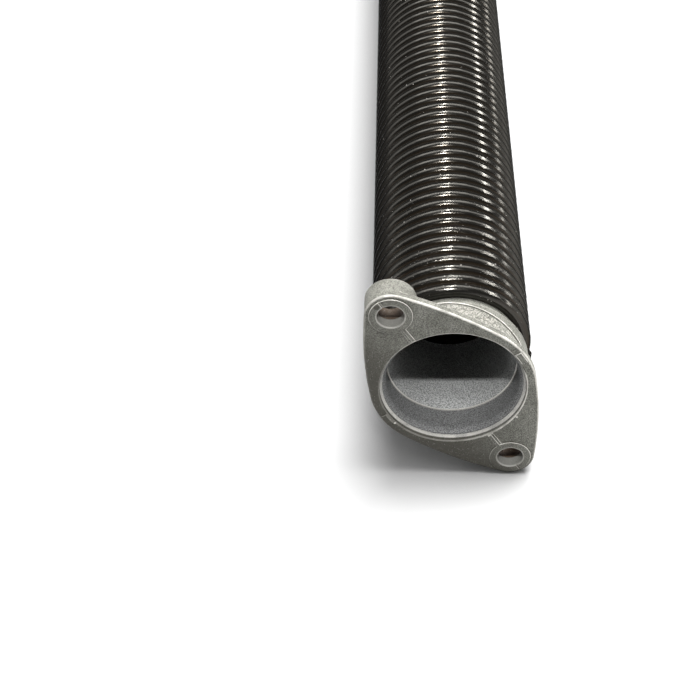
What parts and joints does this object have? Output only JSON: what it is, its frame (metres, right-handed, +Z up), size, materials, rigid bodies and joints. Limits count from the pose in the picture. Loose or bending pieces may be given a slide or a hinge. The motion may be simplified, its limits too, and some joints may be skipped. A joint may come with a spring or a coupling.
{
  "type": "garage door torsion spring",
  "caption": "Close-wound torsion spring of oiled wire on a die-cast stationary cone with a two-ear flange and a winding cone with set screws, for a sectional door's shaft.",
  "frame": {"origin": "centre of the bolt circle, in the plane of the raised lands that meet the bracket, on the spring's axis", "axes": "+Y along the spring's axis from the flange into the coil, +Z up as the spring lies in the picture, +X to the right seen from the flange; the ears' line leans 32.7 degrees from the vertical with the upper ear to the left"},
  "size_m": [0.08, 0.6356, 0.0928],
  "materials": {
    "oiled_wire": "oil-tempered black spring wire, oily and glossy, with dust and scuffs",
    "cast_cone": "die-cast aluminium, matt warm grey, fine bright speckle and bright worn edges",
    "cast_winding_cone": "die-cast aluminium, matt warm grey, bright worn edges",
    "screw_steel": "zinc-plated steel, slightly dull"
  },
  "bodies": {
    "anchored_end": {"stationary_cone": "cast_cone", "spring_coil": "oiled_wire"},
    "winding_end": {"winding_cone": "cast_winding_cone", "set_screw_1": "screw_steel", "set_screw_2": "screw_steel"}
  },
  "joints": [
    {"name": "winding", "type": "hinge", "parent": "anchored_end", "child": "winding_end", "pos_m": [0, 0.57756, 0], "axis": [0, 1, 0], "range_deg": [0, 2700], "stiffness_Nm_per_rad": 0.73, "deforming": ["spring_coil"]}
  ]
}
